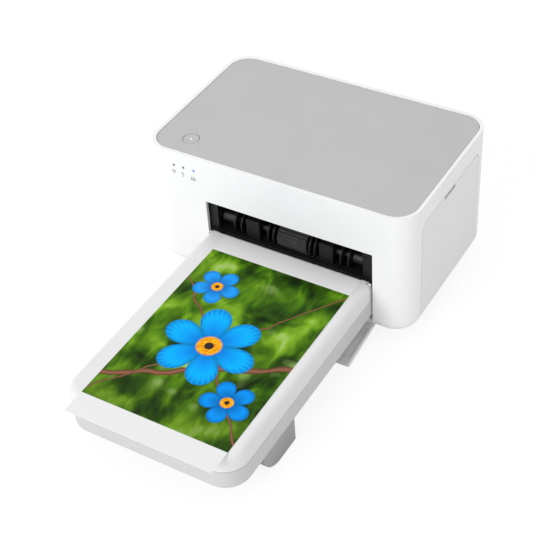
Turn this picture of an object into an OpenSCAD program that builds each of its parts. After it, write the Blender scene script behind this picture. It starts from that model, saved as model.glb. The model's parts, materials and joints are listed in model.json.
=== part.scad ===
// Compact photo printer with a hinged side door, a front flap, a paper cassette with a
// hinged lid, a gear-driven paper path and a tilting print head.
// X runs right, Y runs to the back, Z runs up. The floor is z = 0. Inside the modules the
// heights count from a datum that lies floor_drop above the floor, and Y from the front face.

/* [Node] */
// Sub-part to build, or all of them

/* [Body] */
// Width of the casing
body_w = 194.8; // [194:0.2:198]
// Depth of the casing
body_d = 123.9; // [123:0.3:127]
// Height of the top rim above the datum
body_h = 92; // [92:0.5:96]
// Height of the datum above the floor
floor_drop = 11; // [10.5:0.5:12]
// Casing wall
wall = 2.5; // [2.2:0.1:2.8]
// Radius of the upright corners
corner_r = 17; // [16:0.5:18]
// Radius of the lower edges
edge_r = 7; // [7:0.1:7.5]
// Height of the rubber feet
foot_h = 8; // [7.9:0.1:8.4]
// Width of the ledge under the top panel
ledge = 3; // [2.5:0.5:4]
// Thickness of the top panel
panel_t = 2.1; // [1.8:0.1:2.4]
// Gap between a fixed cover and its opening
fit_gap = 0.3; // [0.25:0.05:0.4]

/* [Front opening] */
// Left edge of the paper opening
mouth_x0 = -51.3; // [-51.8:0.1:-51.3]
// Right edge of the paper opening
mouth_x1 = 71.9; // [71.9:0.1:72.4]
// Top edge of the paper opening
mouth_top = 58.7; // [58.7:0.1:60]

/* [Side door] */
// Front edge of the door
door_y0 = 18.7; // [18.7:0.1:19.5]
// Back edge of the door
door_y1 = 105; // [102:0.5:105]
// Top edge of the door
door_top = 78; // [76:0.5:79]
// Radius of the door's top corners
door_r = 6; // [4:0.5:8]
// Length of the finger slit
slit_l = 16; // [14:1:20]
// Height of the finger slit
slit_h = 2.2; // [1.8:0.1:2.4]

/* [Flap] */
// Length of the flap in front of the body
flap_l = 34; // [32:0.5:34.5]
// Slope of the resting flap, in degrees
flap_tilt = 9.2; // [8:0.1:9.3]
// Thickness of the flap
flap_t = 2.5; // [2.2:0.1:2.5]

/* [Cassette] */
// Length of the cassette in front of the body
cass_l = 168; // [166:0.5:170]
// Radius of the cassette's front corners
cass_r = 16; // [14:0.5:18]
// Radius of the lid's top edges
lid_r = 4.5; // [4:0.1:5]
// Wall of the cassette
cass_wall = 2; // [1.8:0.1:2.2]
// Underside of the cassette
cass_z0 = 8; // [8:0.1:8.2]
// Top of the closed lid
cass_top = 35; // [34.9:0.1:35]
// Length of the printed sheet
sheet_l = 178; // [170:1:178]
// Width of the sheets
sheet_w = 101.6; // [100:0.1:102]
// Overhang of the printed sheet past the cassette
sheet_over = 11; // [9:0.5:12]

/* [Rollers and gears] */
// Gear module
gear_m = 1; // [1]
// Radius of the pick-up discs
disc_r = 8.5; // [8:0.1:8.6]
// Thickness of a pick-up disc
disc_t = 1.2; // [1:0.1:1.3]
// Radius of the platen roller
platen_r = 8; // [7.8:0.05:8]
// Radial clearance of a turning shaft
run = 0.05; // [0.03:0.01:0.08]

/* [Hidden] */
$fn = 64;

hw = body_w / 2;
ground = -floor_drop;
z_base = ground + foot_h;
floor_z = z_base + wall;
in_x = hw - wall;
in_y1 = body_d - wall;
panel_z = body_h - 0.3 - panel_t;
ledge_t = 2.5;
sheet_y0 = -cass_l - sheet_over;
shift_y = -(sheet_y0 + body_d) / 2;
mid_x = (mouth_x0 + mouth_x1) / 2;

// Side door hinge: its axis is the centre of the lower edge's curve.
hinge_x = hw - edge_r;
hinge_z = z_base + edge_r;
hinge_pin_r = 2;
ear_t = 4;
boss_r = edge_r - wall + 0.4;
boss_l = 6.4;
pin_in = 5.4;
slit_y = 59.3;

// Flap hinge
flap_y = 4.4;
flap_z = z_base + 2.7;
flap_barrel_r = 2.2;
flap_pin_r = 1.2;
flap_boss_r = 1.9;
flap_boss_l = 4.5;
flap_z0 = flap_z - 4.3;
mouth_y1 = 7.2;
rim_w = 1.6;

// Chassis
lp_x1 = -55.5;
rp_x0 = 76;
plate_t = 2;
lp_x0 = lp_x1 - plate_t;
rp_x1 = rp_x0 + plate_t;
plate_y0 = 8;
plate_y1 = in_y1 - 9.4;
plate_z1 = body_h - 8;
tab_t = 1.5;
screw_r = 1.2;
screw_head_r = 2.2;
screw_head_h = 1.2;

// Shaft centres, as [y, z]
pickup_c = [12, 42];
idler_c = [30, 42];
platen_c = [64, 42];
motor_c = [88, 24];
takeup_c = [35.16, 60];
supply_c = [92, 60];
head_c = [98, 78];
pickup_shaft_r = 3;
platen_shaft_r = 4;
idler_r = 2;
motor_shaft_r = 1.5;
takeup_shaft_r = 1.8;
head_pivot_r = 2.5;

// Gear tooth counts and planes
platen_n = 48;
idler_n = 20;
pickup_n = 16;
motor_n = 12;
takeup_n = 20;
plane_a0 = -62;
plane_a1 = -58;
plane_b0 = -67;
plane_b1 = -63;
press_angle = 25;
addendum = 0.8;
dedendum = 1.1;
backlash = 0.36;

// Cassette
cass_x0 = mid_x - 60.9;
cass_x1 = mid_x + 60.9;
cass_y0 = -cass_l;
cass_y1 = 24;
cass_rim = 21;
cass_split = 28.6;
lid_gap = 0.3;
cass_in = cass_wall + 0.4;
deck_z = 33;
deck_t = 2.2;
lid_hinge_y = 0;
lid_barrel_r = 1.5;
lid_hinge_z = cass_top - lid_barrel_r;
lid_pin_r = 0.8;
lid_ear = 3;
lid_knuckle = 4;
lift_y = cass_y0 + cass_r + 0.7;
lift_z0 = 25.5;
lift_t = 1.2;
lift_pin_r = 0.6;
stack_top = 32.7;
stack_y1 = 20.5;
spring_y = 5;
sheet_t = 0.3;
sheet_x0 = -37.3;

// Ribbon cartridge
tube_r = 9.5;
tube_t = 1;
cart_x0 = -46;
cart_x1 = 64;
end_t = 2;
grip_x1 = 80;
journal_r = 3;
supply_wound_r = 7.5;
takeup_wound_r = 6;
film_t = 0.15;

// Power key
key_c = [-71, 18.3];
key_r = 5.5;
key_gap = 0.3;
key_flange_r = 7;
key_flange_t = 1.4;
key_board_z = panel_z - 9.6;
board_t = 1.6;
board_x = 4.9 - in_x;

// Indicator lamps
lamp_x = [-73.9, -66.5, -58.4];
lamp_z = body_h - 10.6;
lamp_r = 0.9;

// Power inlet
inlet_c = [-69, 22];
inlet_r = 4;
inlet_half = 3.6;

module placed() {
  translate([0, shift_y, floor_drop]) children();
}

// Draws in the Y-Z plane and extrudes along X from x0 to x1.
module along_x(x0, x1) {
  translate([x0, 0, 0]) rotate([90, 0, 90]) linear_extrude(x1 - x0) children();
}

// Draws in the X-Z plane and extrudes along Y from y0 to y1.
module along_y(y0, y1) {
  translate([0, y1, 0]) rotate([90, 0, 0]) linear_extrude(y1 - y0) children();
}

module rod_x(c, r, x0, x1) {
  translate([x0, c[0], c[1]]) rotate([0, 90, 0]) cylinder(r = r, h = x1 - x0);
}

module rod_y(x, z, r, y0, y1) {
  translate([x, y1, z]) rotate([90, 0, 0]) cylinder(r = r, h = y1 - y0);
}

module box(x0, x1, y0, y1, z0, z1) {
  translate([x0, y0, z0]) cube([x1 - x0, y1 - y0, z1 - z0]);
}

// Rectangle whose two lower corners are rounded.
module tub_2d(a0, a1, b0, b1, r) {
  translate([a0 + r, b0]) square([a1 - a0 - 2 * r, b1 - b0]);
  translate([a0, b0 + r]) square([a1 - a0, b1 - b0 - r]);
  for (a = [a0 + r, a1 - r]) translate([a, b0 + r]) lower_half(r);
}

module lower_half(r) {
  intersection() {
    circle(r = r);
    translate([-r, -r]) square([2 * r, r]);
  }
}

// Rectangle with all corners rounded.
module round_rect(x0, x1, y0, y1, r) {
  translate([x0 + r, y0]) square([x1 - x0 - 2 * r, y1 - y0]);
  translate([x0, y0 + r]) square([x1 - x0, y1 - y0 - 2 * r]);
  for (x = [x0 + r, x1 - r], y = [y0 + r, y1 - r]) {
    translate([x, y]) circle(r = r);
  }
}

// Half profile of an upright post whose lower edge is rounded.
module post_2d(r, f, h) {
  square([r - f, h]);
  translate([0, f]) square([r, h - f]);
  translate([r - f, f]) intersection() {
    circle(r = f);
    translate([0, -f]) square([f, f]);
  }
}

// Box with upright corners of radius r and lower edges of radius f.
module tub(x0, x1, y0, y1, z0, z1, r, f) {
  along_y(y0 + r, y1 - r) tub_2d(x0, x1, z0, z1, f);
  along_x(x0 + r, x1 - r) tub_2d(y0, y1, z0, z1, f);
  for (x = [x0 + r, x1 - r], y = [y0 + r, y1 - r]) {
    translate([x, y, z0]) rotate_extrude() post_2d(r, f, z1 - z0);
  }
}

// Lid block: front corners of radius r, top edges of radius f on three sides.
module lid_block(x0, x1, y0, y1, z0, z1, r, f) {
  translate([0, 0, z1]) mirror([0, 0, 1]) {
    along_y(y0 + r, y1) tub_2d(x0, x1, 0, z1 - z0, f);
    along_x(x0 + r, x1 - r) {
      translate([y0 + f, 0]) square([r, z1 - z0]);
      translate([y0, f]) square([r, z1 - z0 - f]);
      translate([y0 + f, f]) lower_half(f);
    }
    for (x = [x0 + r, x1 - r]) {
      translate([x, y0 + r, 0]) rotate_extrude() post_2d(r, f, z1 - z0);
    }
  }
}

// Plan of the cassette: rounded front corners, square back.
module cassette_2d(inset, back) {
  r = cass_r - inset;
  x0 = cass_x0 + inset;
  x1 = cass_x1 - inset;
  y0 = cass_y0 + inset;
  translate([x0, y0 + r]) square([x1 - x0, back - y0 - r]);
  translate([x0 + r, y0]) square([x1 - x0 - 2 * r, 2 * r]);
  for (x = [x0 + r, x1 - r]) {
    translate([x, y0 + r]) circle(r = r);
  }
}

// Involute polar angle, in degrees, at radius r of a base circle rb.
function inv_deg(rb, r) = tan(acos(rb / r)) * 180 / PI - acos(rb / r);

// Half angle of a tooth at radius r.
function half_tooth(n, r) = let (rp = gear_m * n / 2, rb = rp * cos(press_angle))
  90 / n - backlash / 2 / rp * 90 / PI + inv_deg(rb, rp) - inv_deg(rb, max(r, rb));

function polar(r, a) = [r * cos(a), r * sin(a)];

// Spur gear outline; the first tooth points at angle turn.
module gear_2d(n, turn) {
  rp = gear_m * n / 2;
  rb = rp * cos(press_angle);
  r0 = rp - dedendum;
  ra = rp + addendum;
  rs = max(rb, r0 + 0.05);
  radii = [r0, rs, (rs + rp) / 2, rp, (rp + ra) / 2, ra];
  polygon([for (k = [0:n - 1], i = [0:11])
    let (j = i < 6 ? i : 11 - i, s = i < 6 ? -1 : 1)
    polar(radii[j], turn + k * 360 / n + s * half_tooth(n, radii[j]))]);
}

// First-tooth angle of a gear with nb teeth that meshes with one of na teeth at angle ta,
// when the second centre lies in direction dir from the first.
function mesh_turn(na, ta, nb, dir) = dir + 180 - (ta - dir) * na / nb + 180 / nb;
function dir_of(a, b) = atan2(b[1] - a[1], b[0] - a[0]);

platen_turn = 0;
idler_turn = mesh_turn(platen_n, platen_turn, idler_n, dir_of(platen_c, idler_c));
pickup_turn = mesh_turn(idler_n, idler_turn, pickup_n, dir_of(idler_c, pickup_c));
motor_turn = mesh_turn(platen_n, platen_turn, motor_n, dir_of(platen_c, motor_c));
takeup_turn = mesh_turn(platen_n, platen_turn, takeup_n, dir_of(platen_c, takeup_c));

module gear_x(c, n, turn, bore, x0, x1) {
  along_x(x0, x1) translate(c) difference() {
    gear_2d(n, turn);
    circle(r = bore);
  }
}

// Ring sector that a twisted extrusion turns into a coil of square wire.
module coil(x, y, z0, z1, r, w, turns) {
  pitch = (z1 - z0) / turns;
  span = 360 * w / pitch;
  steps = 6;
  outer = [for (i = [0:steps]) polar(r + w / 2, span * i / steps)];
  inner = [for (i = [0:steps]) polar(r - w / 2, span * (steps - i) / steps)];
  translate([x, y, z0])
    linear_extrude(height = z1 - z0, twist = -360 * turns, slices = 12 * turns, $fn = 12)
      polygon(concat(outer, inner));
}

module casing() {
  placed() color([0.95, 0.95, 0.95]) {
    difference() {
      tub(-hw, hw, 0, body_d, z_base, body_h, corner_r, edge_r);
      tub(-in_x, in_x, wall, in_y1, floor_z, body_h + 1, corner_r - wall, edge_r - wall);
      box(mouth_x0, mouth_x1, -1, mouth_y1, z_base - 1, mouth_top);
      for (x = [mouth_x0 - flap_boss_l, mouth_x1 - 1]) {
        rod_x([flap_y, flap_z], flap_pin_r, x, x + flap_boss_l + 1);
      }
      along_x(in_x - 2, hw + 1) door_2d(fit_gap, hinge_z);
      rod_y(hinge_x, hinge_z, edge_r + fit_gap, door_y0 - fit_gap, door_y1 + fit_gap);
      for (x = lamp_x) rod_y(x, lamp_z, lamp_r, -1, wall + 1);
      along_y(in_y1 - 1, body_d + 1) inlet_2d(inlet_r);
      box(-45, 66, in_y1 - 1, body_d + 1, 34, 70);
      for (p = screw_points) translate([p[0], p[1], z_base - 1]) cylinder(r = screw_r, h = 10);
    }
    for (x = [mouth_x0 - flap_boss_l, mouth_x1]) difference() {
      rod_x([flap_y, flap_z], flap_boss_r, x, x + flap_boss_l);
      rod_x([flap_y, flap_z], flap_pin_r, x - 1, x + flap_boss_l + 1);
    }
    difference() {
      rod_y(hinge_x, hinge_z, boss_r, door_y0 - fit_gap - boss_l, door_y0 - fit_gap);
      rod_y(hinge_x, hinge_z, hinge_pin_r, door_y0 - fit_gap - pin_in, door_y0);
    }
    difference() {
      rod_y(hinge_x, hinge_z, boss_r, door_y1 + fit_gap, door_y1 + fit_gap + boss_l);
      rod_y(hinge_x, hinge_z, hinge_pin_r, door_y1, door_y1 + fit_gap + pin_in);
    }
    translate([0, 0, panel_z - ledge_t]) linear_extrude(ledge_t) difference() {
      round_rect(-in_x - 0.5, in_x + 0.5, wall - 0.5, in_y1 + 0.5, corner_r - wall + 0.5);
      round_rect(-in_x + ledge, in_x - ledge, wall + ledge, in_y1 - ledge,
        corner_r - wall - ledge);
    }
    for (x = [-40, 60]) box(x - 1.5, x + 1.5, mouth_y1 + 1, 30, floor_z - 0.5, cass_z0);
    for (y = [36, 102], z = [18, 74]) rod_x([y, z], 3, -in_x - 0.5, board_x);
  }
}

screw_points = [[lp_x0 - 5, 22], [lp_x0 - 5, 102], [rp_x1 + 2.5, 22], [rp_x1 + 2.5, 102]];

// Door outline in the Y-Z plane, grown by g.
module door_2d(g, z0) {
  y0 = door_y0 - g;
  y1 = door_y1 + g;
  top = door_top + g;
  r = door_r + g;
  translate([y0, z0]) square([y1 - y0, top - z0 - r]);
  translate([y0 + r, z0]) square([y1 - y0 - 2 * r, top - z0]);
  for (y = [y0 + r, y1 - r]) translate([y, top - r]) circle(r = r);
}

module inlet_2d(r) {
  for (s = [-1, 1]) translate([inlet_c[0] + s * inlet_half, inlet_c[1]]) circle(r = r);
  translate([inlet_c[0] - inlet_half, inlet_c[1] - r]) square([2 * inlet_half, 2 * r]);
}

module top_panel() {
  g = fit_gap;
  placed() color([0.77, 0.77, 0.78]) {
    translate([0, 0, panel_z]) linear_extrude(panel_t) difference() {
      round_rect(-in_x + g, in_x - g, wall + g, in_y1 - g, corner_r - wall - g);
      translate(key_c) circle(r = key_r + key_gap);
    }
    for (x = [-85, -61.5], y = [10.5, 28]) {
      translate([x, y, key_board_z + board_t])
        cylinder(r = 2, h = panel_z - key_board_z - board_t + 0.5);
    }
  }
}

module front_liner() {
  t = 1.8;
  w = 3.5;
  placed() color([0.06, 0.06, 0.06]) {
    box(mouth_x0 - w, mouth_x0, wall, wall + t, 10, mouth_top + w);
    box(mouth_x1, mouth_x1 + w, wall, wall + t, 10, mouth_top + w);
    box(mouth_x0 - 1, mouth_x1 + 1, wall, wall + t, mouth_top, mouth_top + w);
    for (x = [[mouth_x0, mouth_x0 + 6.5], [mouth_x1 - 8.5, mouth_x1]]) difference() {
      box(x[0], x[1], wall + 1, wall + 16, deck_z + deck_t, mouth_top + w);
      rod_x(pickup_c, 5, x[0] - 1, x[1] + 1);
    }
  }
}

module rear_cover() {
  placed() color([0.85, 0.85, 0.85]) difference() {
    union() {
      box(-45 + fit_gap, 66 - fit_gap, in_y1 - 1, body_d - 0.3, 34 + fit_gap, 70 - fit_gap);
      box(-47, 68, in_y1 - 1.5, in_y1, 32, 72);
    }
    box(-42, 62.6, in_y1 - 5, body_d + 1, 46, 51);
    for (x = [-40:6:60]) box(x, x + 2, in_y1 - 5, body_d + 1, 56, 66);
  }
}

module power_inlet() {
  placed() color([0.08, 0.08, 0.08]) {
    difference() {
      box(inlet_c[0] - 9, inlet_c[0] + 9, in_y1 - 15, in_y1, 15, 29);
      along_y(in_y1 - 12, in_y1 + 1) inlet_2d(inlet_r);
    }
    for (s = [-1, 1]) {
      rod_y(inlet_c[0] + s * 4.3, inlet_c[1], 1.1, in_y1 - 12.5, in_y1 - 2);
    }
  }
}

module rubber_feet() {
  placed() color([0.1, 0.1, 0.1]) for (x = [-75, 75], y = [18, 106]) {
    translate([x, y, ground]) cylinder(r = 6, h = foot_h);
  }
}

module side_door() {
  placed() color([0.86, 0.86, 0.86]) difference() {
    union() {
      along_x(in_x, hw) door_2d(0, hinge_z);
      rod_y(hinge_x, hinge_z, edge_r, door_y0, door_y1);
    }
    rod_y(hinge_x, hinge_z, edge_r - wall, door_y0 + ear_t, door_y1 - ear_t);
    box(hinge_x - edge_r - 1, hinge_x - 3, door_y0 + ear_t, door_y1 - ear_t, ground, 30);
    box(hinge_x - 3.5, in_x, door_y0 + ear_t, door_y1 - ear_t, hinge_z, 30);
    rod_y(hinge_x, hinge_z, hinge_pin_r + run, door_y0 - 1, door_y1 + 1);
    box(in_x - 1, hw + 1, slit_y - slit_l / 2, slit_y + slit_l / 2, door_top - 0.5 - slit_h,
      door_top - 0.5);
  }
}

module door_latch() {
  placed() color([0.75, 0.75, 0.77]) {
    box(in_x - 0.8, in_x, 54, 70, 62, 75);
    box(in_x - 2.6, in_x - 0.4, 58, 66, 70, 74.5);
  }
}

module door_pins() {
  placed() color([0.7, 0.7, 0.72]) {
    rod_y(hinge_x, hinge_z, hinge_pin_r, door_y0 - fit_gap - pin_in, door_y0 + ear_t);
    rod_y(hinge_x, hinge_z, hinge_pin_r, door_y1 - ear_t, door_y1 + fit_gap + pin_in);
  }
}

module front_flap() {
  x0 = mouth_x0 + fit_gap;
  x1 = mouth_x1 - fit_gap;
  z1 = flap_z0 + flap_t;
  placed() color([0.8, 0.8, 0.8]) translate([0, flap_y, flap_z])
  rotate([flap_tilt, 0, 0]) translate([0, -flap_y, -flap_z]) difference() {
    union() {
      translate([0, 0, flap_z0]) linear_extrude(flap_t) {
        round_rect(x0, x1, -flap_l, 0, 1);
        translate([x0, -6]) square([x1 - x0, 6 + flap_y + 1.8]);
      }
      box(x0, x1, flap_y - 1.8, flap_y + 1.8, flap_z0, flap_z);
      rod_x([flap_y, flap_z], flap_barrel_r, x0, x1);
    }
    box(x0 + rim_w, x1 - rim_w, -flap_l + 6, -1, z1 - 1, z1 + 1);
    box(x0 + rim_w, x1 - rim_w, -flap_l + rim_w, -flap_l + 5.2, z1 - 0.6, z1 + 1);
    rod_x([flap_y, flap_z], flap_pin_r + run, x0 - 1, x0 + 6);
    rod_x([flap_y, flap_z], flap_pin_r + run, x1 - 6, x1 + 1);
  }
}

module flap_pins() {
  l = flap_boss_l + 5.5;
  placed() color([0.7, 0.7, 0.72]) for (x = [mouth_x0 - flap_boss_l, mouth_x1 - 5.5]) {
    rod_x([flap_y, flap_z], flap_pin_r, x, x + l);
  }
}

module left_plate() {
  placed() color([0.12, 0.12, 0.13]) {
    along_x(lp_x0, lp_x1) difference() {
      round_rect(plate_y0, plate_y1, floor_z, plate_z1, 3);
      translate(pickup_c) circle(r = pickup_shaft_r + run);
      translate(idler_c) circle(r = idler_r);
      translate(platen_c) circle(r = platen_shaft_r + run);
      translate(takeup_c) circle(r = takeup_shaft_r + run);
      translate(head_c) circle(r = head_pivot_r);
      translate(motor_c) circle(r = 5);
    }
    for (y = [22, 102]) difference() {
      box(lp_x0 - 8, lp_x0 + 0.5, y - 6, y + 6, floor_z, floor_z + tab_t);
      translate([lp_x0 - 5, y, z_base - 1]) cylinder(r = screw_r, h = 10);
    }
  }
}

module right_plate() {
  placed() color([0.12, 0.12, 0.13]) {
    along_x(rp_x0, rp_x1) difference() {
      round_rect(plate_y0, plate_y1, floor_z, plate_z1, 3);
      translate([25, supply_c[1] - tube_r]) square([77.5, 20.5]);
      translate(pickup_c) circle(r = pickup_shaft_r + run);
      translate(platen_c) circle(r = platen_shaft_r + run);
      translate(head_c) circle(r = head_pivot_r);
    }
    for (y = [22, 102]) difference() {
      box(rp_x1 - 0.5, rp_x1 + 4.9, y - 6, y + 6, floor_z, floor_z + tab_t);
      translate([rp_x1 + 2.5, y, z_base - 1]) cylinder(r = screw_r, h = 10);
    }
  }
}

module cross_bars() {
  placed() color([0.6, 0.6, 0.62]) {
    rod_x([107, 14], 2.5, lp_x1, rp_x0);
    rod_x([20, 78], 2.5, lp_x1, rp_x0);
  }
}

module chassis_screws() {
  placed() color([0.7, 0.7, 0.72]) for (p = screw_points) translate([p[0], p[1], 0]) {
    translate([0, 0, z_base]) cylinder(r = screw_r, h = floor_z + tab_t - z_base);
    translate([0, 0, floor_z + tab_t]) cylinder(r = screw_head_r, h = screw_head_h);
  }
}

module cassette_base() {
  z1 = cass_z0 + cass_wall;
  placed() color([0.88, 0.88, 0.88]) {
    translate([0, 0, cass_z0]) linear_extrude(cass_wall) cassette_2d(0, cass_y1);
    difference() {
      union() {
        translate([0, 0, z1 - 0.5]) linear_extrude(cass_rim - z1 + 0.5)
          cassette_2d(0, cass_y1);
        translate([0, 0, z1 - 0.5]) linear_extrude(cass_split - z1 + 0.5)
          cassette_2d(cass_in, cass_y1);
      }
      translate([0, 0, z1 - 1]) linear_extrude(30)
        cassette_2d(cass_in + cass_wall, cass_y1 - cass_wall);
      box(cass_x0 + cass_in + cass_wall, cass_x1 - cass_in - cass_wall, cass_y1 - 4,
        cass_y1 + 1, 24, 40);
      rod_x([lift_y, lift_z0 + 0.6], lift_pin_r + run, cass_x0 - 1, cass_x1 + 1);
    }
    for (x = [cass_x0, cass_x1 - lid_ear]) difference() {
      intersection() {
        lid_block(cass_x0, cass_x1, cass_y0, lid_hinge_y + lid_barrel_r, cass_z0, cass_top,
          cass_r, lid_r);
        union() {
          rod_x([lid_hinge_y, lid_hinge_z], lid_barrel_r, x, x + lid_ear);
          box(x, x + lid_ear, lid_hinge_y - lid_barrel_r, lid_hinge_y + lid_barrel_r,
            cass_z0, lid_hinge_z);
        }
      }
      rod_x([lid_hinge_y, lid_hinge_z], lid_pin_r, x - 1, x + lid_ear + 1);
    }
  }
}

module cassette_lid() {
  z0 = cass_rim + lid_gap;
  back = lid_hinge_y - lid_barrel_r - 0.3;
  k0 = cass_x0 + lid_ear + 0.3;
  k1 = cass_x1 - lid_ear - 0.3 - lid_knuckle;
  placed() color([0.91, 0.91, 0.91]) {
    difference() {
      lid_block(cass_x0, cass_x1, cass_y0, back, z0, cass_top, cass_r, lid_r);
      lid_block(cass_x0 + cass_wall, cass_x1 - cass_wall, cass_y0 + cass_wall, back + 1,
        z0 - 1, cass_top - cass_wall, cass_r - cass_wall, lid_r - cass_wall);
    }
    box(k0 + lid_knuckle - 0.5, k1 + 0.5, back - 1, lid_hinge_y,
      cass_top - cass_wall, cass_top);
    for (x = [k0, k1]) difference() {
      union() {
        rod_x([lid_hinge_y, lid_hinge_z], lid_barrel_r, x, x + lid_knuckle);
        box(x, x + lid_knuckle, back - 1, lid_hinge_y, lid_hinge_z, cass_top);
      }
      rod_x([lid_hinge_y, lid_hinge_z], lid_pin_r + run, x - 1, x + lid_knuckle + 1);
    }
  }
}

module lid_pins() {
  l = lid_ear + 0.3 + lid_knuckle - 1;
  placed() color([0.7, 0.7, 0.72]) for (x = [cass_x0, cass_x1 - l]) {
    rod_x([lid_hinge_y, lid_hinge_z], lid_pin_r, x, x + l);
  }
}

module lift_plate() {
  side = cass_in + cass_wall + 0.6;
  end = cass_in + 0.4;
  placed() color([0.72, 0.73, 0.75]) {
    translate([0, 0, lift_z0]) linear_extrude(lift_t)
      round_rect(cass_x0 + side, cass_x1 - side, lift_y - 1, 20, 2);
    rod_x([lift_y, lift_z0 + 0.6], lift_pin_r, cass_x0 + end, cass_x1 - end);
  }
}

module paper_stack() {
  placed() color([0.97, 0.97, 0.95])
    box(mid_x - sheet_w / 2, mid_x + sheet_w / 2, lift_y - 0.5, stack_y1,
      lift_z0 + lift_t, stack_top);
}

module lift_springs() {
  placed() color([0.7, 0.7, 0.72]) for (x = [-20, 41]) {
    coil(x, spring_y, cass_z0 + cass_wall, lift_z0, 4, 1, 5);
  }
}

module cassette_foot() {
  h = cass_z0 - ground;
  placed() color([0.7, 0.7, 0.7]) along_x(34, cass_x1 - fit_gap) {
    translate([-118.5, ground]) square([17.5, h]);
    intersection() {
      translate([-118.5, cass_z0]) circle(r = h);
      translate([-118.5 - h, ground]) square([h + 1, h]);
    }
  }
}

module print_sheet() {
  placed() color([0.95, 0.96, 0.94])
    box(sheet_x0, sheet_x0 + sheet_w, sheet_y0, sheet_y0 + sheet_l, cass_top,
      cass_top + sheet_t);
}

disc_x = [-32.4, -27.3, -7, -2.9, 24.3, 28, 47, 52.6];
flutes = 20;
flute_w = 0.9;
slot_half = sqrt(disc_r ^ 2 - (pickup_c[1] - deck_z - deck_t) ^ 2) + 0.4;

module pickup_shaft() {
  placed() color([0.6, 0.6, 0.62]) {
    rod_x(pickup_c, pickup_shaft_r, plane_a0, rp_x1);
    rod_x(pickup_c, 4.5, -44, -34);
    rod_x(pickup_c, 4.5, 54, 62);
  }
}

module pickup_discs() {
  placed() color([0.05, 0.05, 0.05]) for (x = disc_x) difference() {
    rod_x(pickup_c, disc_r, x - disc_t / 2, x + disc_t / 2);
    rod_x(pickup_c, pickup_shaft_r, x - disc_t, x + disc_t);
  }
}

module pickup_roller() {
  placed() color([0.08, 0.08, 0.08]) difference() {
    rod_x(pickup_c, disc_r, 0, 21.7);
    rod_x(pickup_c, pickup_shaft_r, -1, 23);
    along_x(-1, 23) translate(pickup_c) for (a = [0:360 / flutes:359]) {
      rotate(a) translate([disc_r - 0.8, -flute_w / 2]) square([2, flute_w]);
    }
  }
}

module pickup_gear() {
  placed() color([0.9, 0.9, 0.86])
    gear_x(pickup_c, pickup_n, pickup_turn, pickup_shaft_r, plane_a0, plane_a1);
}

module idler_axle() {
  placed() color([0.7, 0.7, 0.72]) {
    rod_x(idler_c, idler_r, plane_a0 - 0.5, lp_x1);
    rod_x(idler_c, 3, plane_a0 - 1.4, plane_a0 - 0.3);
  }
}

module idler_gear() {
  placed() color([0.9, 0.9, 0.86])
    gear_x(idler_c, idler_n, idler_turn, idler_r + run, plane_a0, plane_a1);
}

module platen_shaft() {
  placed() color([0.7, 0.7, 0.72]) rod_x(platen_c, platen_shaft_r, plane_b0, rp_x1);
}

module platen_roller() {
  placed() color([0.1, 0.1, 0.1]) difference() {
    rod_x(platen_c, platen_r, -42, 62);
    rod_x(platen_c, platen_shaft_r, -43, 63);
  }
}

module platen_gear() {
  placed() color([0.9, 0.9, 0.86])
    gear_x(platen_c, platen_n, platen_turn, platen_shaft_r, plane_b0, plane_a1);
}

module motor_body() {
  placed() color([0.6, 0.6, 0.62]) difference() {
    union() {
      rod_x(motor_c, 15, lp_x1, -17);
      rod_x(motor_c, 5, lp_x0, lp_x1 + 1);
      rod_x(motor_c, 4, -17.5, -14);
    }
    rod_x(motor_c, motor_shaft_r + run, lp_x0 - 1, -46);
  }
}

module motor_pinion() {
  placed() color([0.75, 0.6, 0.3]) {
    rod_x(motor_c, motor_shaft_r, plane_b0, -46.3);
    gear_x(motor_c, motor_n, motor_turn, motor_shaft_r - 0.2, plane_b0, plane_b1);
  }
}

module takeup_gear() {
  placed() color([0.9, 0.9, 0.86]) {
    rod_x(takeup_c, takeup_shaft_r, plane_b0, -40);
    gear_x(takeup_c, takeup_n, takeup_turn, takeup_shaft_r - 0.2, plane_b0, plane_b1);
  }
}

module spool(c, wound_r) {
  rod_x(c, journal_r, cart_x0, cart_x1);
  rod_x(c, journal_r + 0.8, cart_x0 + end_t + 0.3, cart_x1 - end_t - 0.3);
  rod_x(c, wound_r, cart_x0 + end_t + 3, cart_x1 - end_t - 3);
}

module takeup_spool() {
  placed() color([0.25, 0.25, 0.28]) difference() {
    spool(takeup_c, takeup_wound_r);
    rod_x(takeup_c, takeup_shaft_r, cart_x0 - 1, -40);
  }
}

module supply_spool() {
  placed() color([0.25, 0.25, 0.28]) spool(supply_c, supply_wound_r);
}

module cartridge_tube(c, slot0) {
  difference() {
    rod_x(c, tube_r, cart_x0, grip_x1);
    rod_x(c, tube_r - tube_t, cart_x0 + end_t, cart_x1 - end_t);
    rod_x(c, journal_r + run, cart_x0 - 1, cart_x1 + 0.5);
    box(cart_x0 + end_t, cart_x1 - end_t, slot0, slot0 + 11, 50, 55.5);
  }
}

module cartridge_shell() {
  placed() color([0.3, 0.3, 0.33]) {
    cartridge_tube(takeup_c, takeup_c[0]);
    cartridge_tube(supply_c, supply_c[0] - 11);
    for (x = [[cart_x0, cart_x0 + end_t], [cart_x1 - end_t, grip_x1]]) {
      box(x[0], x[1], takeup_c[0] + 8, supply_c[0] - 8, 61, 68);
    }
    for (c = [takeup_c, supply_c]) difference() {
      rod_x(c, 6, lp_x1, cart_x0 + 0.5);
      rod_x(c, journal_r + run, lp_x1 - 1, cart_x0 + 1);
    }
  }
}

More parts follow.
